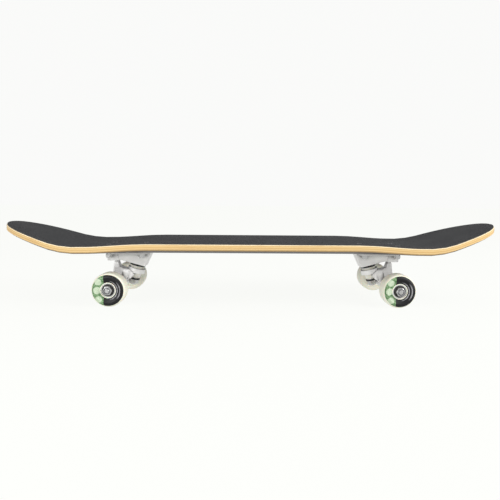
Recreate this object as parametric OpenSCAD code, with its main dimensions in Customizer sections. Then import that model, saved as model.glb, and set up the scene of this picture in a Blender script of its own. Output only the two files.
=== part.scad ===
// Skateboard: a seven-ply maple deck with griptape on two standard-kingpin trucks, each with two
// urethane wheels on ball bearings. The origin is on the floor under the middle of the deck, with
// +X from the nose to the tail, +Y to the rider's right and +Z up. Lengths are in millimetres.

/* [Deck] */
// Overall length, from the tip of the nose to the tip of the tail
deck_length = 800; // [770:1:840]
// Width between the parallel sides
deck_width = 197; // [190:1:216]
// Thickness of the maple laminate
deck_thickness = 10.6; // [9.5:0.1:12]
// Thickness of the griptape
grip_thickness = 0.9; // [0.6:0.1:1.4]
// Height of the sides above the flat middle, between the trucks
side_lift = 8; // [5:0.5:12]
// Height of the sides above the middle of each kick
kick_side_lift = 3; // [1:0.5:6]
// Upward angle of the nose and of the tail
kick_angle = 18.5; // [12:0.5:24]
// Radius of the bend between the flat middle and each kick
kick_radius = 155; // [100:5:220]
// Bluntness of the nose and the tail, where 2 is an ellipse
tip_power = 2.3; // [2:0.1:2.8]

/* [Trucks] */
// Distance between the inner rows of truck bolts
inner_wheelbase = 368.3; // [350:0.1:380]
// How far the pair of trucks sits behind the middle of the deck
truck_setback = 3.1; // [0:0.1:10]
// Height of the deck's underside above the axles
truck_height = 53; // [53:0.5:56]
// Overall length of each axle
axle_length = 193; // [190:1:198]
// Distance from the middle of a truck's bolts out to its axle
axle_offset = 11.5; // [10:0.5:12.5]

/* [Wheels] */
// Diameter of each wheel
wheel_diameter = 52; // [50:1:54]
// Width of each wheel
wheel_width = 31; // [30:0.5:33]

/* [Hidden] */
$fn = 64;
truck_pieces = [
    "baseplate", "pivot_cup", "kingpin", "kingpin_nut", "upper_washer", "lower_washer",
    "upper_bushing", "lower_bushing", "hanger", "axle", "speed_washers", "axle_nuts",
    "mounting_bolts", "mounting_nuts"
];
wheel_pieces = ["wheel", "outer_races", "inner_races", "balls", "ball_cages", "shields", "spacer"];

clearance = 0.04;       // between parts of one body that fit inside each other
overlap = 1;            // how far a cutter runs past the face that it opens

// Deck
end_straight = 248;     // half the length of the parallel sides
flat_half = 30;         // half the width of the flat strip along the middle
concave_full = 160;     // the sides keep their full lift as far out as this
concave_done = 264;     // and have come down to the kicks' lift here
nose_start = 267;       // where the nose's bend begins, out from the middle of the deck
tail_start = 264;       // and the tail's
tip_turn = 88.3;        // how far round the tip's quarter turn the last station is, in degrees
top_round = 1;          // inset of the laminate's top edge
bottom_round = 2.5;     // inset of its bottom edge
wheel_radius = wheel_diameter / 2;
deck_bottom = wheel_radius + truck_height;
deck_top = deck_bottom + deck_thickness;

// Standard truck bolt pattern, number 10 screws
bolt_pitch_x = 54;
bolt_pitch_y = 41.3;
bolt_radius = 2.4;
bolt_hole_radius = 2.6;
bolt_length = 22.2;
bolt_head_radius = 4.6;
bolt_head_height = 2.7;
bolt_sink = 0.1;        // the heads lie this far under the griptape's surface
head_bottom = deck_thickness + grip_thickness - bolt_sink - bolt_head_height;
bolt_nut_corner = 5.5;
bolt_nut_height = 5.8;
truck_x = inner_wheelbase / 2 + bolt_pitch_x / 2;

// Baseplate
flange_in = 37.5;
flange_out = 32;
flange_half = 27.5;
flange_thickness = 4.8;
flange_corner = 10;

// Kingpin and what is stacked on it, measured down its axis from the seat on the baseplate
kingpin_tilt = 15.4;
kingpin_seat = [-16.3, 0, -22.5];
kingpin_radius = 4.7;
kingpin_hole = 4.85;
kingpin_head_corner = 8.25;
kingpin_head_height = 5.8;
kingpin_grip = 14.2;    // from the seat up to the underside of the head
upper_washer_end = 1.6;
upper_bushing_end = 11;
ring_floor = 2.2;       // thickness of the ring's middle, between the two bushings
lower_bushing_end = 25.6;
lower_washer_end = 27.2;
kingpin_nut_end = 34.4;
kingpin_end = 36.4;
kingpin_length = kingpin_head_height + kingpin_grip + kingpin_end;
bushing_radius = 11.3;
lower_bushing_radius = 10.4;
lower_washer_radius = 9.4;
ring_radius = 14.2;
ring_upper_rim = 3.6;   // height of the rim round the end of the upper bushing
ring_lower_rim = 2;
ring_hole = 7.6;
ring_top = upper_bushing_end - ring_upper_rim;
ring_bottom = upper_bushing_end + ring_floor + ring_lower_rim;
skirt_radius = 13.2;    // room round the lower bushing inside the hanger's skirt

// Pivot: the hanger turns on the line from the middle of the ring to the tip in its cup
kingpin_way = [sin(kingpin_tilt), 0, -cos(kingpin_tilt)];
ring_centre = kingpin_seat + (ring_top + ring_bottom) / 2 * kingpin_way;
pivot_angle = 34.1;
pivot_reach = 42.05;
pivot_way = [cos(pivot_angle), 0, sin(pivot_angle)];
pivot_point = ring_centre + pivot_reach * pivot_way;
pivot_tip_radius = 4.3;
pivot_base_radius = 5.5;
pivot_base = -8;        // where the tapered pin meets the arm
cup_radius = 6.4;
cup_depth = 5.2;
cup_mouth = -2.6;

// Axle, wheel and 608 bearings; the wheel's own axis is Z, pointing outwards
axle_radius = 3.96;
hanger_half = 63.5;
speed_washer_thickness = 1;
bearing_width = 7;
spacer_length = 10;
bearing_outer = 11;
bearing_inner = 4;
race_inner_shoulder = 5.95;
race_outer_shoulder = 9.5;
ball_pitch_radius = 7.5;
ball_radius = 1.98;
groove_radius = 2;
ball_count = 7;
shield_thickness = 0.4;
axle_nut_corner = 7.33;
axle_nut_height = 6.4;
bearing_middle = (spacer_length + bearing_width) / 2;
stack_half = spacer_length / 2 + bearing_width;
wheel_y = hanger_half + speed_washer_thickness + stack_half;
lip_radius = 7;
dish_depth = 2.4;       // how far the side face falls from the lip to the bearing

maple = "burlywood";
metal = "silver";
steel = "lightgray";
urethane = "ivory";

// ---- Deck surface ----

function smooth(t) = let (c = min(1, max(0, t))) c * c * (3 - 2 * c);

// Height of the middle of the deck above its flat part
function kick_rise(x) =
    let (run = max(0, abs(x) - (x < 0 ? nose_start : tail_start)),
         bend = kick_radius * sin(kick_angle))
    run < bend
        ? kick_radius - sqrt(kick_radius * kick_radius - run * run)
        : kick_radius * (1 - cos(kick_angle)) + (run - bend) * tan(kick_angle);

function lift_at(x) =
    side_lift + (kick_side_lift - side_lift)
        * smooth((abs(x) - concave_full) / (concave_done - concave_full));

function top_height(x, y) =
    let (out = max(0, abs(y) - flat_half) / (deck_width / 2 - flat_half))
    deck_top + kick_rise(x) + lift_at(x) * out * out;

// One quarter turn of a blunt ellipse, scaled so that its last station lies on the tip
tip_length = deck_length / 2 - end_straight;
function tip_station(a) = [
    end_straight + tip_length * pow(sin(a) / sin(tip_turn), 2 / tip_power),
    deck_width / 2 * pow(cos(a), 2 / tip_power)
];

tip_steps = 13;
tip_stations = [for (i = [1:tip_steps]) tip_station(tip_turn * i / tip_steps)];
straight_x = [-248, -232, -216, -200, -184, -160, -80, 0, 80, 160, 184, 200, 216, 232, 248];
straight_stations = [for (x = straight_x) [x, deck_width / 2]];
stations = concat(
    [for (i = [tip_steps - 1:-1:0]) [-tip_stations[i][0], tip_stations[i][1]]],
    straight_stations,
    tip_stations
);
flat_share = flat_half / (deck_width / 2);
half_shares = [flat_share, 0.46, 0.62, 0.76, 0.89, 1];
shares = concat([for (i = [5:-1:0]) -half_shares[i]], half_shares);

// The whole plan, drawn in from its outline by inset and down from the top surface by depth
function layer(inset, depth) = [
    for (s = stations, t = shares)
        [s[0] * (1 - 2 * inset / deck_length), (s[1] - inset) * t, top_height(s[0], s[1] * t) - depth]
];

rows = len(stations);
columns = len(shares);
function at(i, j) = i * columns + j;

// Indices of a layer's rim, in order round the outline
rim = concat(
    [for (i = [0:rows - 1]) at(i, 0)],
    [for (j = [1:columns - 1]) at(rows - 1, j)],
    [for (i = [rows - 2:-1:0]) at(i, columns - 1)],
    [for (j = [columns - 2:-1:1]) at(0, j)]
);
function on_rim(points) = [for (k = rim) points[k]];

sheet_faces = [for (i = [0:rows - 2], j = [0:columns - 2]) each [
    [at(i, j), at(i + 1, j + 1), at(i + 1, j)],
    [at(i, j), at(i, j + 1), at(i + 1, j + 1)]
]];
function flipped(faces) = [for (f = faces) [f[2], f[1], f[0]]];
function moved(faces, by) = [for (f = faces) [for (k = f) k + by]];

// A band of triangles between two loops of point indices
function band(upper, lower) = [
    for (k = [0:len(upper) - 1]) let (n = (k + 1) % len(upper)) each [
        [upper[k], upper[n], lower[n]],
        [upper[k], lower[n], lower[k]]
    ]
];

// A solid between two layers, with rings of points down its edge
module slab(top, bottom, edge_rings) {
    count = len(top);
    ring = len(rim);
    points = concat(top, bottom, [for (r = edge_rings) each r]);
    loops = concat(
        [rim],
        [for (r = [0:len(edge_rings) - 1]) [for (k = [0:ring - 1]) 2 * count + r * ring + k]],
        [[for (k = rim) k + count]]
    );
    polyhedron(points, concat(
        sheet_faces,
        moved(flipped(sheet_faces), count),
        [for (r = [0:len(loops) - 2]) each band(loops[r + 1], loops[r])]
    ));
}

// ---- Placing ----

module at_truck(end) {
    translate([truck_setback + end * truck_x, 0, deck_bottom])
        rotate([0, 0, end > 0 ? 0 : 180])
            children();
}

module at_bolts() {
    for (x = [-1, 1], y = [-1, 1])
        translate([x * bolt_pitch_x / 2, y * bolt_pitch_y / 2, 0])
            children();
}

// Z runs down the kingpin from its seat
module along_kingpin(distance = 0) {
    translate(kingpin_seat + distance * kingpin_way)
        rotate([0, 180 - kingpin_tilt, 0])
            children();
}

// Z runs up the pivot axis from the tip's centre
module along_pivot(distance = 0) {
    translate(pivot_point + distance * pivot_way)
        rotate([0, 90 - pivot_angle, 0])
            children();
}

// Z runs outwards along the axle from the middle of the wheel
module at_wheel(end, side) {
    translate([truck_setback + end * (truck_x + axle_offset), side * wheel_y, wheel_radius])
        rotate([-90 * side, 0, 0])
            children();
}

module at_bearings() {
    for (side = [-1, 1])
        translate([0, 0, side * bearing_middle])
            children();
}

module tube(outer, inner, height) {
    difference() {
        cylinder(r = outer, h = height);
        translate([0, 0, -overlap]) cylinder(r = inner, h = height + 2 * overlap);
    }
}

module across(radius, length) {
    rotate([90, 0, 0]) cylinder(r = radius, h = length, center = true);
}

// ---- Deck and griptape ----

module bolt_holes() {
    for (end = [-1, 1])
        at_truck(end) at_bolts() {
            translate([0, 0, -overlap]) cylinder(r = bolt_hole_radius, h = deck_thickness + 2 * overlap);
            translate([0, 0, head_bottom]) cylinder(
                r1 = bolt_hole_radius, r2 = bolt_hole_radius + 2 * (bolt_head_radius - bolt_radius),
                h = 2 * bolt_head_height);
        }
}

module deck() {
    color(maple)
        difference() {
            slab(layer(top_round, 0), layer(bottom_round, deck_thickness), [
                on_rim(layer(0, 1.6 * top_round)),
                on_rim(layer(0, deck_thickness - bottom_round))
            ]);
            bolt_holes();
        }
}

module griptape() {
    color([0.12, 0.12, 0.13])
        difference() {
            slab(layer(top_round, -grip_thickness), layer(top_round, 0),
                [on_rim(layer(top_round, -grip_thickness / 2))]);
            bolt_holes();
        }
}

// ---- Truck, in its own frame: X outwards, the deck's underside at Z = 0 ----

module rounded_plan(from, to, half, corner) {
    translate([from, -half + corner]) square([to - from, 2 * (half - corner)]);
    translate([from + corner, -half]) square([to - from - 2 * corner, 2 * half]);
    for (x = [from + corner, to - corner], y = [-1, 1])
        translate([x, y * (half - corner)]) circle(corner);
}

// A side outline given as [x, z] points, drawn out across the truck
module side_extrude(half) {
    translate([0, half, 0]) rotate([90, 0, 0]) linear_extrude(2 * half) children();
}

module kingpin_housing() {
    difference() {
        union() {
            intersection() {
                side_extrude(26) polygon([[-42, 0], [-28.5, -29], [0, -24], [12.4, -15.5], [14.5, 0]]);
                front_extrude(-50, 30) polygon([
                    [-17, 0], [-14.6, -5], [-13.2, -32], [13.2, -32], [14.6, -5], [17, 0]]);
            }
            along_kingpin(-12) cylinder(r = 13, h = 14);
        }
        along_kingpin() translate([-40, -40, 0]) cube([80, 80, 30]);
        along_pivot(cup_mouth - 24) cylinder(r = 8.6, h = 24);
    }
}

// The block round the pivot cup, with a slot below it for the hanger's neck
module pivot_housing() {
    difference() {
        union() {
            intersection() {
                translate([0, 0, -16.6]) linear_extrude(16.6) rounded_plan(6, 33.4, 13.6, 7);
                side_extrude(20) polygon([
                    [4, 0], [9, -10.8], [13.4, -18], [31, -18], [33.4, -13.5], [35, 0]]);
            }
        }
        along_pivot(cup_mouth - 20) translate([-20, -9.6, 0]) cube([40, 19.2, 20]);
    }
}

module baseplate() {
    color(metal)
        difference() {
            union() {
                translate([0, 0, -flange_thickness])
                    linear_extrude(flange_thickness)
                        rounded_plan(-flange_in, flange_out, flange_half, flange_corner);
                kingpin_housing();
                pivot_housing();
            }
            translate([-80, -50, 0]) cube([160, 100, 30]);
            at_bolts() translate([0, 0, -flange_thickness - overlap])
                cylinder(r = bolt_hole_radius, h = flange_thickness + 2 * overlap);
            along_kingpin(-30) cylinder(r = kingpin_hole, h = 40);
            along_kingpin(-kingpin_grip - 20) cylinder(r = kingpin_head_corner + 0.4, h = 20);
            along_pivot(cup_mouth - overlap)
                cylinder(r = cup_radius + clearance, h = cup_depth - cup_mouth + overlap);
        }
}

module pivot_cup() {
    color("dimgray")
        difference() {
            along_pivot(cup_mouth) cylinder(r = cup_radius, h = cup_depth - cup_mouth);
            pivot_pin(0.2, overlap - cup_mouth);
        }
}

// Radius of the tapered pivot pin at a distance along the pivot axis
function pin_radius(t) = pivot_tip_radius + (pivot_base_radius - pivot_tip_radius) * t / pivot_base;

module kingpin() {
    color(steel)
        along_kingpin(-kingpin_grip - kingpin_head_height) {
            cylinder(r = kingpin_head_corner, h = kingpin_head_height, $fn = 6);
            rotate_extrude() polygon([
                [0, 1], [kingpin_radius, 1], [kingpin_radius, kingpin_length - 0.8],
                [kingpin_radius - 0.8, kingpin_length], [0, kingpin_length]]);
        }
}

// A lock nut: a chamfered hexagon with a plain collar round its insert
module lock_nut(corner, collar, bore, hex_height, height) {
    difference() {
        union() {
            intersection() {
                cylinder(r = corner, h = hex_height, $fn = 6);
                cylinder(r1 = corner + hex_height - 0.8, r2 = corner - 0.8, h = hex_height);
            }
            translate([0, 0, overlap]) cylinder(r = collar, h = height - overlap);
        }
        translate([0, 0, -overlap]) cylinder(r = bore, h = height + 2 * overlap);
    }
}

module kingpin_nut() {
    color(steel)
        along_kingpin(lower_washer_end)
            lock_nut(kingpin_head_corner, 6.9, kingpin_hole, 5.7, kingpin_nut_end - lower_washer_end);
}

// A washer with a turned-down rim that holds the end of a bushing
module cup_washer(radius, thickness, rim) {
    difference() {
        cylinder(r = radius, h = thickness + rim);
        translate([0, 0, thickness]) cylinder(r = radius - 1.3, h = rim + overlap);
        cylinder(r = kingpin_hole, h = 20, center = true);
    }
}

module upper_washer() {
    color("dimgray") along_kingpin() cup_washer(bushing_radius + 1.4, upper_washer_end, 1.6);
}

module lower_washer() {
    color("dimgray") along_kingpin(lower_washer_end) mirror([0, 0, 1])
        cup_washer(lower_washer_radius, lower_washer_end - lower_bushing_end, 1.2);
}

module upper_bushing() {
    height = upper_bushing_end - upper_washer_end;
    color("whitesmoke")
        along_kingpin(upper_washer_end)
            difference() {
                rotate_extrude() {
                    square([bushing_radius - 1.2, height]);
                    translate([0, 1.2]) square([bushing_radius, height - 2.4]);
                    for (z = [1.2, height - 1.2])
                        translate([bushing_radius - 1.2, z]) circle(1.2);
                }
                translate([0, 0, -1]) cylinder(r = kingpin_hole, h = height + 2);
            }
}

module lower_bushing() {
    start = upper_bushing_end + ring_floor;
    height = lower_bushing_end - start;
    color("whitesmoke")
        along_kingpin(start)
            difference() {
                cylinder(r1 = lower_bushing_radius, r2 = lower_washer_radius - 1.6, h = height);
                translate([0, 0, -1]) cylinder(r = kingpin_hole, h = height + 2);
            }
}

// A front outline given as [y, z] points, drawn out along the board
module front_extrude(from, to) {
    translate([from, 0, 0]) rotate([90, 0, 90]) linear_extrude(to - from) children();
}

// The cast arm, from the pin's base down its neck to the ring and the barrel
module hanger_arm() {
    intersection() {
        side_extrude(50) polygon([
            [12.2, -16], [12.4, -11.8], [15.9, -10.4], [21.4, -18.5], [22.4, -21], [22.4, -38],
            [20.4, -50], [17.5, -54.5], [5.5, -54.5], [-1.2, -49.8], [-7.8, -45.8], [-12.4, -40.4],
            [-11, -36], [-6, -31.5], [1, -30.3], [6, -29.8], [10.6, -28.6], [13.1, -26.6],
            [14.7, -22], [16.2, -17.2]]);
        front_extrude(-20, 30) polygon([
            [-6.3, -5], [-6.7, -18], [-7.4, -23], [-9, -28], [-11.4, -32], [-12.4, -36],
            [-12.4, -58], [12.4, -58],
            [12.4, -36], [11.4, -32], [9, -28], [7.4, -23], [6.7, -18], [6.3, -5]]);
    }
}

// The round wall that hangs from the ring's inner half, beside the lower bushing
module hanger_skirt() {
    intersection() {
        along_kingpin(ring_top + 1) cylinder(r = skirt_radius + 2.2, h = 20.4);
        side_extrude(20) polygon([
            [-12.1, -40.1], [-10.6, -36.2], [-5.6, -31.9], [4, -31.4], [8, -40], [7.6, -50.4],
            [-1, -49.2], [-7.5, -45.3]]);
    }
}

// The shoulders that spread from the arm out to the ends of the barrel
module hanger_shoulders() {
    intersection() {
        side_extrude(50) polygon([
            [11, -27], [21.9, -27], [22, -38], [19.8, -49.6], [17, -53.4], [8, -53.4],
            [8.8, -44], [6.8, -35], [5.6, -30.6]]);
        front_extrude(0, 30) polygon([
            [0, -20], [-7.2, -25.6], [-9.6, -30], [-13, -34.4], [-17.6, -38.4], [-24, -42],
            [-32, -45.4], [-41, -48.6], [-48, -51], [-48, -58], [48, -58],
            [48, -51], [41, -48.6], [32, -45.4], [24, -42], [17.6, -38.4], [13, -34.4],
            [9.6, -30], [7.2, -25.6]]);
    }
}

// The tapered pin and its rounded tip, with room added all round for the cup's pocket
module pivot_pin(room = 0, length = -pivot_base) {
    radius = pivot_tip_radius + room;
    along_pivot()
        rotate_extrude() {
            intersection() {
                circle(radius);
                square(radius);
            }
            polygon([[0, 0], [radius, 0], [pin_radius(-length) + room, -length], [0, -length]]);
        }
}

module hanger_barrel() {
    along_axle(1)
        rotate_extrude() polygon([
            [0, -hanger_half], [7.6, -hanger_half], [7.6, -54], [9, -40], [9, 40], [7.6, 54],
            [7.6, hanger_half], [0, hanger_half]]);
}

module hanger() {
    color(metal)
        difference() {
            union() {
                along_kingpin(ring_top) cylinder(r = ring_radius, h = ring_bottom - ring_top);
                hanger_arm();
                hanger_skirt();
                hanger_shoulders();
                hanger_barrel();
                pivot_pin(length = 7.5);
            }
            along_kingpin(-4) cylinder(r = bushing_radius + 0.4, h = upper_bushing_end + 4.02);
            along_kingpin(upper_bushing_end + ring_floor - 0.02)
                cylinder(r = lower_bushing_radius + 0.4, h = ring_lower_rim + overlap);
            along_kingpin(ring_bottom) cylinder(r = skirt_radius, h = 30);
            along_kingpin() cylinder(r = ring_hole, h = 40);
            along_axle(1) cylinder(r = axle_radius + clearance, h = 140, center = true);
        }
}

module axle() {
    color(steel)
        translate([axle_offset, 0, -truck_height]) {
            across(axle_radius, axle_length - 2);
            for (side = [-1, 1])
                rotate([-90 * side, 0, 0])
                    translate([0, 0, axle_length / 2 - 1])
                        cylinder(r1 = axle_radius, r2 = axle_radius - 0.8, h = 1);
        }
}

module along_axle(side) {
    translate([axle_offset, 0, -truck_height]) rotate([-90 * side, 0, 0]) children();
}

module speed_washers() {
    color(steel)
        for (side = [-1, 1], at = [hanger_half, wheel_y + stack_half])
            along_axle(side) translate([0, 0, at])
                tube(6.2, axle_radius + clearance, speed_washer_thickness);
}

module axle_nuts() {
    color(steel)
        for (side = [-1, 1])
            along_axle(side) translate([0, 0, wheel_y + stack_half + speed_washer_thickness])
                lock_nut(axle_nut_corner, 5.9, axle_radius + clearance, 4.8, axle_nut_height);
}

module mounting_bolts() {
    head_top = head_bottom + bolt_head_height;
    color(steel)
        at_bolts() difference() {
            union() {
                translate([0, 0, head_top - bolt_length])
                    cylinder(r = bolt_radius, h = bolt_length - overlap);
                translate([0, 0, head_bottom])
                    cylinder(r1 = bolt_radius, r2 = bolt_head_radius, h = bolt_head_height);
            }
            // cross recess
            for (turn = [0, 90])
                rotate([0, 0, turn]) translate([-2.3, -0.5, head_top - 1.7]) cube([4.6, 1, 3]);
        }
}

module mounting_nuts() {
    color(steel)
        at_bolts() translate([0, 0, -flange_thickness - bolt_nut_height])
            difference() {
                union() {
                    cylinder(r = 4.4, h = bolt_nut_height);
                    translate([0, 0, 1.5])
                        cylinder(r = bolt_nut_corner, h = bolt_nut_height - 1.5, $fn = 6);
                }
                cylinder(r = bolt_radius + clearance, h = 40, center = true);
            }
}

// ---- Wheel and bearings, Z outwards ----

module wheel_section() {
    difference() {
        union() {
            half = wheel_width / 2;
            translate([9, -half]) square([wheel_radius - lip_radius - 9, wheel_width]);
            translate([9, -half + lip_radius]) square([wheel_radius - 9, wheel_width - 2 * lip_radius]);
            for (z = [-1, 1])
                translate([wheel_radius - lip_radius, z * (half - lip_radius)]) circle(lip_radius);
        }
        // dished side faces and the bearing seats
        for (z = [-1, 1]) scale([1, z]) {
            polygon([
                [0, wheel_width / 2 - dish_depth], [13, wheel_width / 2 - dish_depth],
                [wheel_radius - lip_radius, wheel_width / 2], [wheel_radius - lip_radius, 30], [0, 30]]);
            translate([0, spacer_length / 2]) square([bearing_outer, 30]);
        }
    }
}

module wheel() {
    color(urethane) rotate_extrude() wheel_section();
}

module outer_races() {
    color(steel)
        at_bearings() rotate_extrude() difference() {
            translate([race_outer_shoulder, -bearing_width / 2])
                square([bearing_outer - 0.02 - race_outer_shoulder, bearing_width]);
            translate([ball_pitch_radius, 0]) circle(groove_radius + 0.02);
        }
}

module inner_races() {
    color(steel)
        at_bearings() rotate_extrude() difference() {
            translate([bearing_inner, -bearing_width / 2])
                square([race_inner_shoulder - bearing_inner, bearing_width]);
            translate([ball_pitch_radius, 0]) circle(groove_radius + 0.02);
        }
}

module ball_ring(radius) {
    for (k = [0:ball_count - 1])
        rotate([0, 0, 360 * k / ball_count])
            translate([ball_pitch_radius, 0, 0])
                sphere(r = radius);
}

module balls() {
    color(steel) at_bearings() ball_ring(ball_radius);
}

// A crown cage that holds the balls from one side
module ball_cages() {
    color("ivory")
        at_bearings() difference() {
            translate([0, 0, 0.4]) tube(ball_pitch_radius + 0.6, ball_pitch_radius - 0.6, 2.2);
            ball_ring(ball_radius + 0.06);
        }
}

module shields() {
    color([0.1, 0.1, 0.1])
        at_bearings()
            for (side = [-1, 1])
                translate([0, 0, side * 3.1 - shield_thickness / 2])
                    tube(race_outer_shoulder - clearance, race_inner_shoulder + 0.2, shield_thickness);
}

module spacer() {
    color(steel)
        translate([0, 0, -spacer_length / 2]) tube(5.6, bearing_inner + clearance, spacer_length);
}

// ---- Nodes ----

module truck_piece(end, piece) {
    at_truck(end) {
        if (piece == "baseplate") baseplate();
        if (piece == "pivot_cup") pivot_cup();
        if (piece == "kingpin") kingpin();
        if (piece == "kingpin_nut") kingpin_nut();
        if (piece == "upper_washer") upper_washer();
        if (piece == "lower_washer") lower_washer();
        if (piece == "upper_bushing") upper_bushing();
        if (piece == "lower_bushing") lower_bushing();
        if (piece == "hanger") hanger();
        if (piece == "axle") axle();
        if (piece == "speed_washers") speed_washers();
        if (piece == "axle_nuts") axle_nuts();
        if (piece == "mounting_bolts") mounting_bolts();
        if (piece == "mounting_nuts") mounting_nuts();
    }
}

module wheel_piece(end, side, piece) {
    at_wheel(end, side) {
        if (piece == "wheel") wheel();
        if (piece == "outer_races") outer_races();
        if (piece == "inner_races") inner_races();
        if (piece == "balls") balls();
        if (piece == "ball_cages") ball_cages();
        if (piece == "shields") shields();
        if (piece == "spacer") spacer();
    }
}

deck();
griptape();
for (truck = [["front", -1], ["rear", 1]], piece = truck_pieces)
    truck_piece(truck[1], piece);
for (end = [["front", -1], ["rear", 1]], side = [["left", -1], ["right", 1]], piece = wheel_pieces)
    wheel_piece(end[1], side[1], piece);
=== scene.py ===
"""Skateboard on white: materials, fine detail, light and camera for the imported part."""
import math
import bmesh
import bpy
from mathutils import Matrix, Vector
from mathutils.bvhtree import BVHTree

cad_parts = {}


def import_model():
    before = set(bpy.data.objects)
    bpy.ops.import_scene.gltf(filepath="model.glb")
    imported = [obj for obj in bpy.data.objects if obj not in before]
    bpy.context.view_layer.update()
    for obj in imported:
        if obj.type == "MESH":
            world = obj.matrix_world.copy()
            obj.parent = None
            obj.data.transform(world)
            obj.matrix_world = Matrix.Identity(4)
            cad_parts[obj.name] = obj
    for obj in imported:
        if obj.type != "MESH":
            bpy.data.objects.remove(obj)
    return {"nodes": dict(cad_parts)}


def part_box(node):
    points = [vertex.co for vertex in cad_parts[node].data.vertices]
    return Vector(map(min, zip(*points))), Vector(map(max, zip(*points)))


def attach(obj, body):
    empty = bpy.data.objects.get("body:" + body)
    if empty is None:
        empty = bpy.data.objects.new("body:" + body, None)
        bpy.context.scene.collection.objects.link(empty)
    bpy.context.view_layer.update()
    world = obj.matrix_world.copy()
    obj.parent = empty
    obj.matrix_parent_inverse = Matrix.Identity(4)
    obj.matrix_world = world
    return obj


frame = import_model()
NODES = frame["nodes"]
ENDS = ("front", "rear")
SIDES = (("left", -1), ("right", 1))  # each side's name, and its sign along Y
MM = 0.001


def keep_size():
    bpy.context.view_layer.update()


keep_size()


# ---- Node helpers ----

class Shader:
    """A material's node tree, with short ways to add and join nodes."""

    def __init__(self, name):
        self.material = bpy.data.materials.new(name)
        self.material.use_nodes = True
        self.tree = self.material.node_tree
        self.bsdf = self.tree.nodes["Principled BSDF"]

    def set(self, **values):
        """Links or sets the shader's own sockets, named with underscores for spaces."""
        for key, value in values.items():
            socket = self.bsdf.inputs[key.replace("_", " ")]
            if isinstance(value, bpy.types.NodeSocket):
                self.tree.links.new(value, socket)
            elif isinstance(value, tuple) and len(socket.default_value) == 4:
                socket.default_value = (*value, 1)
            else:
                socket.default_value = value
        return self

    def add(self, kind, inputs=(), **settings):
        """A node of this kind. inputs are (socket, value or output) pairs."""
        node = self.tree.nodes.new("ShaderNode" + kind)
        for key, value in settings.items():
            setattr(node, key, value)
        for key, value in inputs:
            if isinstance(value, bpy.types.NodeSocket):
                self.tree.links.new(value, node.inputs[key])
            else:
                node.inputs[key].default_value = value
        return node

    def math(self, operation, a, b=0.0, c=0.0, clamp=False):
        pairs = [(0, a), (1, b), (2, c)]
        return self.add("Math", pairs, operation=operation, use_clamp=clamp).outputs[0]

    def flip(self, value):
        """1 less this value."""
        return self.math("SUBTRACT", 1, value)

    def step(self, value, low, high):
        """0 below low, 1 above high and a straight ramp between."""
        pairs = [("Value", value), ("From Min", low), ("From Max", high)]
        return self.add("MapRange", pairs, clamp=True).outputs["Result"]

    def mix(self, factor, a, b):
        """The colour a where factor is 0 and b where it is 1."""
        a = (*a, 1) if isinstance(a, tuple) else a
        b = (*b, 1) if isinstance(b, tuple) else b
        return self.add("Mix", [(0, factor), (6, a), (7, b)], data_type="RGBA").outputs[2]

    def place(self, scale=(1, 1, 1)):
        """The object's own coordinates, stretched by scale."""
        coordinate = self.add("TexCoord").outputs["Object"]
        return self.add("Mapping", [("Vector", coordinate), ("Scale", scale)]).outputs[0]

    def noise(self, scale, detail=3.0, stretch=(1, 1, 1), rough=0.55):
        pairs = [("Vector", self.place(stretch)), ("Scale", scale)]
        pairs += [("Detail", detail), ("Roughness", rough)]
        return self.add("TexNoise", pairs).outputs[0]

    def height_of(self, vector):
        """A vector's Z."""
        return self.add("SeparateXYZ", [("Vector", vector)]).outputs[2]

    def length(self, vector):
        return self.add("VectorMath", [(0, vector)], operation="LENGTH").outputs["Value"]

    def attribute(self, name):
        return self.add("Attribute", attribute_name=name)

    def wheel_face(self):
        """The place from the wheel's middle, its part across the face, and the radius, in mm."""
        place = self.attribute("place").outputs["Vector"]
        flat = self.add("VectorMath", [(0, place), (1, (1, 0, 1))], operation="MULTIPLY").outputs[0]
        return place, flat, self.length(flat)

    def bump(self, height, strength, distance, normal=None):
        pairs = [("Height", height), ("Strength", strength), ("Distance", distance)]
        if normal is not None:
            pairs.append(("Normal", normal))
        return self.add("Bump", pairs).outputs[0]

    def painted_corner_shade(self, distance):
        """0 in the open and up to 1 deep in a corner: a mask for painted shade in corners and
        recesses.
        """
        ao = self.add("AmbientOcclusion", [("Distance", distance)], samples=8).outputs["AO"]
        return self.math("SUBTRACT", 1, ao, clamp=True)

    def soft_edges(self, radius):
        """Normals that round the sharp edges over this radius."""
        return self.add("Bevel", [("Radius", radius)], samples=6).outputs[0]


def cover(shader, *endings):
    """Gives this material to every CAD node whose name ends in one of the endings."""
    for name, o in NODES.items():
        if any(name == e or name.endswith("_" + e) for e in endings):
            o.data.materials.clear()
            o.data.materials.append(shader.material)


# ---- Facts that the materials read from the meshes ----

def deck_depths(deck, griptape):
    """Writes each deck vertex's distance from the griptape, in millimetres, as the attribute depth."""
    mesh = griptape.data
    tree = BVHTree.FromPolygons([v.co for v in mesh.vertices], [p.vertices for p in mesh.polygons])
    depth = deck.data.attributes.new("depth", "FLOAT", "POINT")
    for vertex in deck.data.vertices:
        depth.data[vertex.index].value = tree.find_nearest(vertex.co)[3] / MM


def wheel_places(corner):
    """Writes each vertex's place from the wheel's middle, in millimetres, as the attribute place.
    X and Z are across the face as seen from outside, and Y points outwards."""
    low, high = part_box(corner + "_wheel")
    middle = (low + high) / 2
    side = 1 if middle.y > 0 else -1
    for piece in ("wheel", "shields", "outer_races"):
        mesh = NODES[corner + "_" + piece].data
        place = mesh.attributes.new("place", "FLOAT_VECTOR", "POINT")
        for vertex in mesh.vertices:
            away = (vertex.co - middle) / MM
            place.data[vertex.index].vector = (-side * away.x, side * away.y, away.z)


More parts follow.
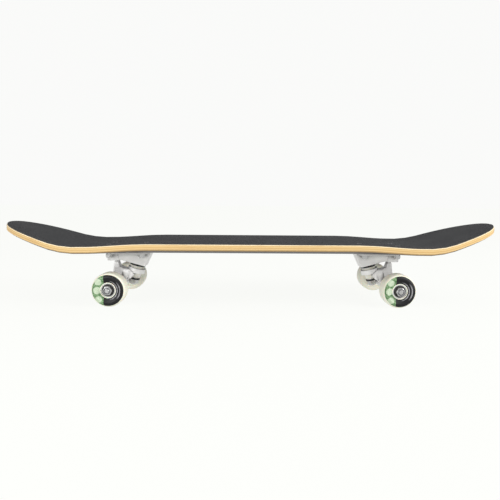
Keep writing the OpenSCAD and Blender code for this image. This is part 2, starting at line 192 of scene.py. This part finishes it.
def smooth_sheet(o):
    """Shades a faceted sheet as one curved surface, with its edges kept sharp."""
    custom = o.data.attributes.get("custom_normal")
    if custom is not None:
        o.data.attributes.remove(custom)
    for polygon in o.data.polygons:
        polygon.use_smooth = True
    weld = o.modifiers.new("weld", "WELD")
    weld.merge_threshold = 0.02 * MM
    split = o.modifiers.new("edges", "EDGE_SPLIT")
    split.split_angle = math.radians(28)


# ---- Deck ----

PLY = 1.514  # thickness of one maple ply, mm
PLIES = [(0.93, 0.80, 0.56), (0.61, 0.43, 0.19), (0.69, 0.50, 0.24), (0.57, 0.38, 0.16),
         (0.67, 0.48, 0.235), (0.56, 0.38, 0.17), (0.40, 0.29, 0.16)]
STAIN_DEPTH = (9.2, 10.3)    # the stain fades in between these depths at the edge, mm
STAIN_FACING = (0.75, 0.88)  # and where the surface faces down this much
FILED_DEPTH = (0.35, 0.9)    # the filed top corner fades out between these depths, mm


def ply_tints(s, depth):
    """Each ply's own tint, from the top ply to the bottom one."""
    ramp = s.add("ValToRGB", [("Fac", s.math("DIVIDE", depth, PLY * len(PLIES)))])
    ramp.color_ramp.interpolation = "CONSTANT"
    elements = ramp.color_ramp.elements
    while len(elements) < len(PLIES):
        elements.new(0.5)
    for k, tint in enumerate(PLIES):
        elements[k].position = k / len(PLIES)
        elements[k].color = (*tint, 1)
    return ramp.outputs[0]


def maple():
    """Seven plies at the edge, each its own tint, and a stained bottom face."""
    s = Shader("maple")
    depth = s.attribute("depth").outputs["Fac"]
    wander = s.math("MULTIPLY_ADD", s.noise(9, 2), 0.5, -0.25)
    depth_here = s.math("ADD", depth, wander)
    tint = ply_tints(s, depth_here)
    streak = s.noise(1, 5, (60, 500, 1400), 0.6)
    patch = s.noise(26, 3, (1, 1, 3))
    wood = s.mix(s.step(streak, 0.35, 0.7), tint, (0.62, 0.40, 0.18))
    wood = s.mix(0.72, wood, tint)
    wood = s.mix(s.math("MULTIPLY", s.step(patch, 0.5, 0.72), 0.35), wood, (0.55, 0.34, 0.15))
    # a thin glue line at the top of each ply
    ply_place = s.math("FRACT", s.math("DIVIDE", depth_here, PLY))
    glue = s.math("MULTIPLY", s.math("LESS_THAN", ply_place, 0.1), 0.22)
    wood = s.mix(glue, wood, (0.30, 0.17, 0.07))
    # the stained bottom veneer, with its grain along the board
    grain = s.noise(1, 6, (14, 260, 40), 0.65)
    stain = s.mix(s.step(grain, 0.3, 0.75), (0.030, 0.026, 0.030), (0.085, 0.070, 0.074))
    down = s.math("MULTIPLY", s.height_of(s.add("TexCoord").outputs["Normal"]), -1)
    under = s.math("MAXIMUM", s.step(depth, *STAIN_DEPTH), s.step(down, *STAIN_FACING))
    color = s.mix(under, wood, stain)
    # the top corner, darkened where the griptape was filed to shape
    filed_to = s.math("ADD", depth, s.math("MULTIPLY", wander, 0.6))
    filed = s.flip(s.step(filed_to, *FILED_DEPTH))
    color = s.mix(s.math("MULTIPLY", filed, 0.8), color, (0.05, 0.045, 0.04))
    normal = s.bump(s.math("ADD", streak, s.math("MULTIPLY", grain, 0.5)), 0.25, 0.2 * MM)
    rough = s.math("MULTIPLY_ADD", grain, 0.2, 0.28)
    return s.set(Base_Color=color, Roughness=rough, Normal=normal, Specular_IOR_Level=0.12)


def grit():
    """Black grit with painted glints on bright facets here and there, and a little dust."""
    s = Shader("grit")
    grain = s.noise(2600, 2, rough=0.7)
    coarse = s.noise(900, 2, rough=0.7)
    dust = s.noise(14, 4, (1, 1.6, 1))
    color = s.mix(s.step(grain, 0.36, 0.66), (0.022, 0.022, 0.023), (0.088, 0.089, 0.092))
    color = s.mix(s.math("MULTIPLY", s.step(dust, 0.45, 0.75), 0.2), color, (0.10, 0.10, 0.10))
    # painted glints: light grey specks painted into the colour where two grain noises both peak
    glint = s.math("MULTIPLY", s.step(grain, 0.70, 0.76), s.step(coarse, 0.55, 0.62))
    color = s.mix(s.math("MULTIPLY", glint, 0.8), color, (0.45, 0.45, 0.46))
    normal = s.bump(s.math("ADD", grain, coarse), 0.7, 0.4 * MM)
    return s.set(Base_Color=color, Roughness=0.9, Normal=normal, Specular_IOR_Level=0.04)


# ---- Metals ----

THREAD_PITCH = 0.79 * MM  # of the mounting bolts


def cast_alloy():
    """Tumbled cast aluminium: softened edges, a fine sandy skin, slight stains, and painted shade
    darkening it in corners and recesses.
    """
    s = Shader("cast_alloy")
    skin = s.noise(1500, 3, rough=0.6)
    cloud = s.noise(60, 4)
    color = s.mix(s.step(cloud, 0.35, 0.7), (0.88, 0.87, 0.86), (0.96, 0.95, 0.94))
    # painted shade: the alloy is darkened where the corner mask is high, with a little random mottling
    # from the cloud noise
    painted_crevice_shade = s.step(s.math("MULTIPLY_ADD", cloud, 0.15, s.painted_corner_shade(16 * MM)), 0.38, 0.72)
    color = s.mix(s.math("MULTIPLY", painted_crevice_shade, 0.9), color, (0.09, 0.083, 0.08))
    rough = s.math("MULTIPLY_ADD", cloud, 0.22, 0.33)
    normal = s.bump(skin, 0.3, 0.25 * MM, s.soft_edges(1.2 * MM))
    return s.set(Base_Color=color, Metallic=0.3, Roughness=rough, Normal=normal)


def plated_steel():
    """Bright zinc plate, slightly clouded."""
    s = Shader("plated_steel")
    cloud = s.noise(160, 3)
    color = s.mix(cloud, (0.50, 0.50, 0.50), (0.66, 0.66, 0.65))
    rough = s.math("MULTIPLY_ADD", cloud, 0.2, 0.18)
    normal = s.bump(s.noise(2200, 2), 0.15, 0.1 * MM, s.soft_edges(0.3 * MM))
    return s.set(Base_Color=color, Metallic=1.0, Roughness=rough, Normal=normal)


def bolt_steel(flange_level):
    """Blackened heads, and plain threads below the flange."""
    s = Shader("bolt_steel")
    z = s.height_of(s.place())
    head = s.math("GREATER_THAN", z, flange_level)
    thread = s.math("SINE", s.math("MULTIPLY", z, 2 * math.pi / THREAD_PITCH))
    thread = s.math("MULTIPLY", thread, s.flip(head))
    color = s.mix(head, (0.55, 0.55, 0.55), (0.025, 0.025, 0.027))
    return s.set(Base_Color=color, Metallic=0.9, Roughness=0.34, Normal=s.bump(thread, 0.9, 0.3 * MM))


def black_steel():
    """Blackened washers, rubbed bright in spots."""
    s = Shader("black_steel")
    rubbed = s.step(s.noise(420, 3), 0.58, 0.7)
    color = s.mix(s.math("MULTIPLY", rubbed, 0.6), (0.03, 0.03, 0.032), (0.35, 0.35, 0.35))
    normal = s.bump(s.noise(1800, 2), 0.15, 0.1 * MM)
    return s.set(Base_Color=color, Metallic=0.9, Roughness=0.36, Normal=normal)


def race_steel():
    """Ground steel with faint turning marks round the wheel's axis."""
    s = Shader("race_steel")
    radius = s.wheel_face()[2]
    lathe = s.math("SINE", s.math("MULTIPLY", radius, 40))
    normal = s.bump(lathe, 0.1, 0.05 * MM)
    return s.set(Base_Color=(0.72, 0.72, 0.71), Metallic=1.0, Roughness=0.16, Normal=normal)


def bearing_steel():
    """Polished steel."""
    s = Shader("bearing_steel")
    tone = s.mix(s.noise(300, 2), (0.66, 0.66, 0.66), (0.74, 0.74, 0.74))
    return s.set(Base_Color=tone, Metallic=1.0, Roughness=0.12)


# ---- Urethane, rubber and nylon ----

PRINT_RING = (12.0, 23.8)  # radii of the printed ring, mm
PRINT_FACE = 10            # only what lies this far out from the wheel's middle is printed, mm
SPLIT = -6.4               # where the green part of the print ends, mm from the middle
SPOTS = [(-14.4, 13.0, 5.2), (-16.2, 0.0, 5.6), (-14.0, -13.8, 5.2)]  # x, z and radius, mm
ARCS = [(14.3, 0.9, 84), (18.4, 1.0, 46)]  # radius and half width, mm, and reach each way, degrees


def bushing_urethane():
    """Cast urethane, slightly translucent."""
    s = Shader("bushing_urethane")
    cloud = s.noise(90, 3)
    color = s.mix(cloud, (0.74, 0.71, 0.61), (0.86, 0.84, 0.77))
    s.set(Base_Color=color, Roughness=0.33, Subsurface_Weight=0.25, Subsurface_Scale=3 * MM)
    s.set(Subsurface_Radius=(1.0, 0.8, 0.5))
    return s.set(Normal=s.bump(s.noise(700, 2), 0.12, 0.2 * MM))


def arc_mark(s, radius, angle, middle, half_width, reach):
    """1 on a thin arc that fades out towards its ends."""
    off_line = s.math("ABSOLUTE", s.math("SUBTRACT", radius, middle))
    band = s.flip(s.step(off_line, half_width * 0.6, half_width))
    end = s.flip(s.step(s.math("ABSOLUTE", angle), reach * 0.55, reach))
    return s.math("MULTIPLY", band, end)


def green_ink(s, flat, ragged):
    """Mottled green, with the light spots."""
    green = s.mix(s.step(s.noise(480, 3), 0.42, 0.6), (0.07, 0.16, 0.06), (0.24, 0.37, 0.20))
    for (x, z, size) in SPOTS:
        offset = s.add("VectorMath", [(0, flat), (1, (x, 0, z))], operation="SUBTRACT").outputs[0]
        away = s.math("ADD", s.length(offset), ragged)
        inside = s.flip(s.step(away, size - 0.5, size + 0.3))
        speck = s.math("MULTIPLY_ADD", s.step(s.noise(900, 2), 0.36, 0.55), 0.3, 0.68)
        green = s.mix(s.math("MULTIPLY", inside, speck), green, (0.54, 0.63, 0.47))
    return green


def black_ink(s, flat_x, flat_z, radius):
    """Black, with the worn grey arcs."""
    angle = s.math("MULTIPLY", s.math("ARCTAN2", flat_z, flat_x), 180 / math.pi)
    inner, outer = [arc_mark(s, radius, angle, *arc) for arc in ARCS]
    marks = s.math("MULTIPLY", s.math("MAXIMUM", inner, outer), s.step(s.noise(600, 3), 0.3, 0.55))
    return s.mix(s.math("MULTIPLY", marks, 0.75), (0.006, 0.006, 0.007), (0.50, 0.49, 0.51))


def wheel_urethane():
    """Cast white urethane, with a two-colour pattern of plain shapes printed on the outer face."""
    s = Shader("wheel_urethane")
    place, flat, radius = s.wheel_face()
    x, out, z = s.add("SeparateXYZ", [("Vector", place)]).outputs
    body = s.mix(s.noise(70, 3), (0.78, 0.765, 0.62), (0.86, 0.845, 0.73))
    ragged = s.math("MULTIPLY_ADD", s.noise(520, 2), 1.6, -0.8)
    edge = s.math("ADD", x, s.math("MULTIPLY", ragged, 0.25))
    side = s.step(edge, SPLIT - 0.1, SPLIT + 0.1)
    ink = s.mix(side, green_ink(s, flat, ragged), black_ink(s, x, z, radius))
    inner, outer = PRINT_RING
    ring = s.math("MULTIPLY", s.step(radius, inner - 0.1, inner + 0.1),
                  s.flip(s.step(radius, outer - 0.1, outer + 0.1)))
    printed = s.math("MULTIPLY", ring, s.math("GREATER_THAN", out, PRINT_FACE))
    tread = s.math("SINE", s.math("MULTIPLY", out, 22))
    normal = s.bump(s.math("MULTIPLY_ADD", tread, 0.3, s.noise(900, 2)), 0.12, 0.12 * MM)
    rough = s.math("MULTIPLY_ADD", printed, 0.1, 0.4)
    glow = s.math("MULTIPLY_ADD", printed, -0.1, 0.1)
    s.set(Base_Color=s.mix(printed, body, ink), Roughness=rough, Normal=normal)
    return s.set(Specular_IOR_Level=0.3, Subsurface_Weight=glow, Subsurface_Scale=3 * MM)


def shield_rubber():
    """Black bearing shields with a moulded ring."""
    s = Shader("shield_rubber")
    radius = s.wheel_face()[2]
    rib = s.math("SINE", s.math("MULTIPLY", radius, 4.2))
    tone = s.mix(s.noise(500, 2), (0.012, 0.011, 0.011), (0.035, 0.031, 0.030))
    return s.set(Base_Color=tone, Roughness=0.42, Normal=s.bump(rib, 0.6, 0.3 * MM))


def nylon(name, dark, light, rough):
    """Moulded nylon, mottled between two tones."""
    s = Shader(name)
    tone = s.mix(s.noise(260, 3), dark, light)
    return s.set(Base_Color=tone, Roughness=rough, Normal=s.bump(s.noise(1400, 2), 0.15, 0.1 * MM))


# ---- Small pieces added on the frame ----

INSERT_REACH = 1.3 * MM   # from the axle's surface to the outside of the nylon ring in its nut
INSERT_HEIGHT = 0.6 * MM
INSERT_SUNK = 0.3 * MM    # how far the ring's back lies inside the nut's face
THREAD_GAP = 0.06 * MM    # between the axle and the ring


def ring_mesh(name, inner, outer, thickness, segments=40):
    """A flat ring with bevelled shoulders, its axis along Z and its back at Z = 0."""
    bevel = min(thickness, outer - inner) * 0.3
    profile = [(inner, 0), (outer, 0), (outer, thickness - bevel), (outer - bevel, thickness),
               (inner + bevel, thickness), (inner, thickness - bevel)]
    mesh = bmesh.new()
    rings = []
    for k in range(segments):
        a = 2 * math.pi * k / segments
        rings.append([mesh.verts.new((r * math.cos(a), r * math.sin(a), z)) for r, z in profile])
    for k in range(segments):
        here, there = rings[k], rings[(k + 1) % segments]
        for j in range(len(profile)):
            n = (j + 1) % len(profile)
            mesh.faces.new((here[j], here[n], there[n], there[j]))
    bmesh.ops.recalc_face_normals(mesh, faces=mesh.faces)
    data = bpy.data.meshes.new(name)
    mesh.to_mesh(data)
    mesh.free()
    for polygon in data.polygons:
        polygon.use_smooth = True
    o = bpy.data.objects.new(name, data)
    bpy.context.scene.collection.objects.link(o)
    return o


def nut_inserts(shader):
    """The nylon ring in the outer end of each axle nut."""
    for end in ENDS:
        low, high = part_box(end + "_axle_nuts")
        axle_low, axle_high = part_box(end + "_axle")
        x, z = (axle_low.x + axle_high.x) / 2, (axle_low.z + axle_high.z) / 2
        radius = (axle_high.x - axle_low.x) / 2
        for word, side in SIDES:
            ring = ring_mesh(f"{end}_{word}_nut_insert", radius + THREAD_GAP, radius + INSERT_REACH,
                             INSERT_HEIGHT)
            face = (high.y if side > 0 else low.y) - side * INSERT_SUNK
            outwards = Matrix.Rotation(-side * math.pi / 2, 4, "X")
            ring.matrix_world = Matrix.Translation((x, face, z)) @ outwards
            ring.data.materials.append(shader.material)
            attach(ring, end + "_truck_hanger")


# ---- Floor, light and camera ----

WHITE = (0.955, 0.958, 0.948)       # the backdrop as seen
FLOOR_WHITE = (0.92, 0.928, 0.902)  # the floor's glow as seen
FLOOR_GLOW = 0.8                    # the floor's glow as light, beside 1 as seen
FLOOR_RADIUS = 14.0
SKY = 0.62                          # the sky's strength as light, level and straight ahead
SKY_RIGHT, SKY_UP = 0.12, 0.06      # what it gains towards +X and towards +Z
CAMERA_PLACE = (-0.0166, -0.8372, 0.1632)
CAMERA_PITCH, CAMERA_YAW, CAMERA_ROLL = 5.672, 0.935, 0.436  # degrees down, to the right, and of roll
CAMERA_LENS = 35.8


def floor():
    """A pale floor, partly glowing like a lit studio sweep, so that shadows on it stay soft.
    It throws less light up at the board than it shows, as a sweep lit from behind does."""
    mesh = bpy.data.meshes.new("floor")
    count = 64
    angles = [2 * math.pi * k / count for k in range(count)]
    ring = [(FLOOR_RADIUS * math.cos(a), FLOOR_RADIUS * math.sin(a), 0) for a in angles]
    mesh.from_pydata(ring, [], [tuple(range(count))])
    o = bpy.data.objects.new("floor", mesh)
    bpy.context.scene.collection.objects.link(o)
    s = Shader("floor")
    s.set(Base_Color=(0.05, 0.05, 0.05), Roughness=1.0, Specular_IOR_Level=0.0,
          Emission_Color=FLOOR_WHITE)
    seen = s.add("LightPath").outputs["Is Camera Ray"]
    s.set(Emission_Strength=s.math("MULTIPLY_ADD", seen, 1 - FLOOR_GLOW, FLOOR_GLOW))
    mesh.materials.append(s.material)


def world():
    """White to the camera. As light, brighter from above and from the right."""
    w = bpy.data.worlds.new("studio")
    w.use_nodes = True
    tree = w.node_tree
    link = tree.links.new
    background = tree.nodes["Background"]
    background.inputs["Color"].default_value = (1.0, 1.0, 0.995, 1)
    shown = tree.nodes.new("ShaderNodeBackground")
    shown.inputs["Color"].default_value = (*WHITE, 1)
    direction = tree.nodes.new("ShaderNodeTexCoord")
    split = tree.nodes.new("ShaderNodeSeparateXYZ")
    link(direction.outputs["Generated"], split.inputs[0])
    across = tree.nodes.new("ShaderNodeMath")
    across.operation = "MULTIPLY_ADD"
    across.inputs[1].default_value = SKY_RIGHT
    across.inputs[2].default_value = SKY
    link(split.outputs[0], across.inputs[0])
    height = tree.nodes.new("ShaderNodeMath")
    height.operation = "MULTIPLY_ADD"
    height.inputs[1].default_value = SKY_UP
    link(split.outputs[2], height.inputs[0])
    link(across.outputs[0], height.inputs[2])
    link(height.outputs[0], background.inputs["Strength"])
    path = tree.nodes.new("ShaderNodeLightPath")
    choose = tree.nodes.new("ShaderNodeMixShader")
    link(path.outputs["Is Camera Ray"], choose.inputs[0])
    link(background.outputs[0], choose.inputs[1])
    link(shown.outputs[0], choose.inputs[2])
    link(choose.outputs[0], tree.nodes["World Output"].inputs["Surface"])
    bpy.context.scene.world = w


def softbox(name, place, size, watts, aim=(0, 0, 0.06)):
    """A rectangular light at this place, turned to the board."""
    light = bpy.data.lights.new(name, "AREA")
    light.shape = "RECTANGLE"
    light.size, light.size_y = size
    light.energy = watts
    o = bpy.data.objects.new(name, light)
    bpy.context.scene.collection.objects.link(o)
    o.location = place
    o.rotation_euler = (Vector(place) - Vector(aim)).to_track_quat("Z", "Y").to_euler()


def camera():
    """Beside the board and a little above it, with under half a degree of roll."""
    pitch, yaw, roll = [math.radians(a) for a in (CAMERA_PITCH, CAMERA_YAW, CAMERA_ROLL)]
    data = bpy.data.cameras.new("camera")
    data.sensor_width = 36
    data.lens = CAMERA_LENS
    o = bpy.data.objects.new("camera", data)
    bpy.context.scene.collection.objects.link(o)
    level = math.cos(pitch)
    ahead = Vector((math.sin(yaw) * level, math.cos(yaw) * level, -math.sin(pitch)))
    right = ahead.cross(Vector((0, 0, 1))).normalized()
    up = right.cross(ahead)
    turned_right = right * math.cos(roll) + up * math.sin(roll)
    turned_up = up * math.cos(roll) - right * math.sin(roll)
    turn = Matrix((turned_right, turned_up, -ahead)).transposed().to_4x4()
    o.matrix_world = Matrix.Translation(CAMERA_PLACE) @ turn
    bpy.context.scene.camera = o


# ---- Build ----

camera()
deck_depths(NODES["deck"], NODES["griptape"])
for end in ENDS:
    for word, _ in SIDES:
        wheel_places(f"{end}_{word}")
for sheet in ("deck", "griptape"):
    smooth_sheet(NODES[sheet])
cover(maple(), "deck")
cover(grit(), "griptape")
cover(cast_alloy(), "baseplate", "hanger")
cover(plated_steel(), "kingpin", "kingpin_nut", "axle", "speed_washers", "axle_nuts",
      "mounting_nuts", "spacer")
cover(black_steel(), "upper_washer", "lower_washer")
cover(bolt_steel(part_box("front_mounting_nuts")[1].z), "mounting_bolts")
cover(race_steel(), "outer_races")
cover(bearing_steel(), "inner_races", "balls")
cover(bushing_urethane(), "upper_bushing", "lower_bushing")
cover(wheel_urethane(), "wheel")
cover(shield_rubber(), "shields")
cover(nylon("cup_nylon", (0.02, 0.02, 0.02), (0.05, 0.05, 0.05), 0.5), "pivot_cup")
cover(nylon("cage_nylon", (0.62, 0.55, 0.42), (0.74, 0.68, 0.55), 0.45), "ball_cages")
nut_inserts(nylon("insert_nylon", (0.07, 0.07, 0.08), (0.14, 0.14, 0.15), 0.4))
floor()
world()
softbox("key", (1.35, -0.8, 0.95), (0.9, 0.9), 25)
softbox("fill", (-0.75, -0.95, 0.4), (0.6, 0.5), 6.8, aim=(-0.25, 0, 0.06))
bpy.context.scene.view_settings.view_transform = "Standard"
keep_size()
